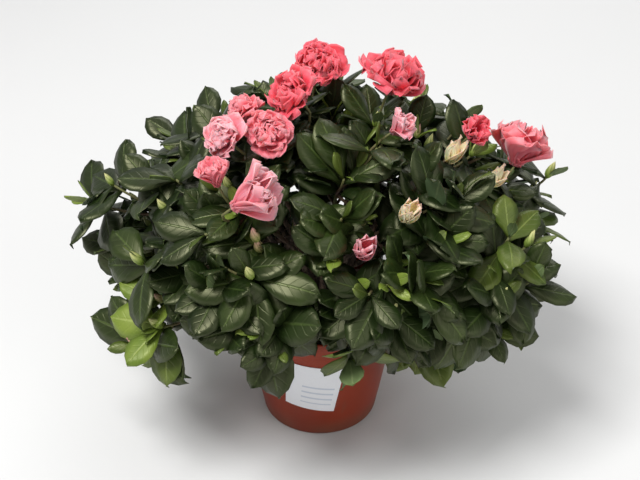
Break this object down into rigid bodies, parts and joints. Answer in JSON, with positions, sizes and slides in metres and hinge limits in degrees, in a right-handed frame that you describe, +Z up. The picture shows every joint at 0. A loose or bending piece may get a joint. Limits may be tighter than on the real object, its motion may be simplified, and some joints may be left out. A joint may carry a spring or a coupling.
{
  "type": "potted azalea shrub",
  "caption": "Low, wide azalea shrub with dark oval leaves in whorls and double coral blossom, standing in a round tapered plastic nursery pot.",
  "frame": {"origin": "centre of the pot's flat underside, on the pot's axis", "axes": "+Z up along the pot's axis, -Y towards the side that is looked at, +X to that viewer's right"},
  "size_m": [0.3846, 0.3, 0.2905],
  "materials": {
    "pot_plastic": "satin",
    "peat": "matte",
    "label_paper": "satin",
    "bark": "matte",
    "foliage": "satin"
  },
  "bodies": {
    "root": {"pot": "pot_plastic", "soil": "peat", "label": "label_paper", "trunk": "bark", "bough_top_1": "bark", "foliage_top_1": "foliage", "bough_top_2": "bark", "foliage_top_2": "foliage", "bough_top_3": "bark", "foliage_top_3": "foliage", "bough_top_4": "bark", "foliage_top_4": "foliage", "bough_shoulder_1": "bark", "foliage_shoulder_1": "foliage", "bough_shoulder_2": "bark", "foliage_shoulder_2": "foliage", "bough_shoulder_3": "bark", "foliage_shoulder_3": "foliage", "bough_shoulder_4": "bark", "foliage_shoulder_4": "foliage", "bough_shoulder_5": "bark", "foliage_shoulder_5": "foliage", "bough_shoulder_6": "bark", "foliage_shoulder_6": "foliage", "bough_shoulder_7": "bark", "foliage_shoulder_7": "foliage", "bough_shoulder_8": "bark", "foliage_shoulder_8": "foliage", "bough_waist_1": "bark", "foliage_waist_1": "foliage", "bough_waist_2": "bark", "foliage_waist_2": "foliage", "bough_waist_3": "bark", "foliage_waist_3": "foliage", "bough_waist_4": "bark", "foliage_waist_4": "foliage", "bough_waist_5": "bark", "foliage_waist_5": "foliage", "bough_waist_6": "bark", "foliage_waist_6": "foliage", "bough_waist_7": "bark", "foliage_waist_7": "foliage", "bough_waist_8": "bark", "foliage_waist_8": "foliage", "bough_waist_9": "bark", "foliage_waist_9": "foliage", "bough_skirt_1": "bark", "foliage_skirt_1": "foliage", "bough_skirt_2": "bark", "foliage_skirt_2": "foliage", "bough_skirt_3": "bark", "foliage_skirt_3": "foliage", "bough_skirt_4": "bark", "foliage_skirt_4": "foliage", "bough_skirt_5": "bark", "foliage_skirt_5": "foliage"}
  },
  "joints": []
}
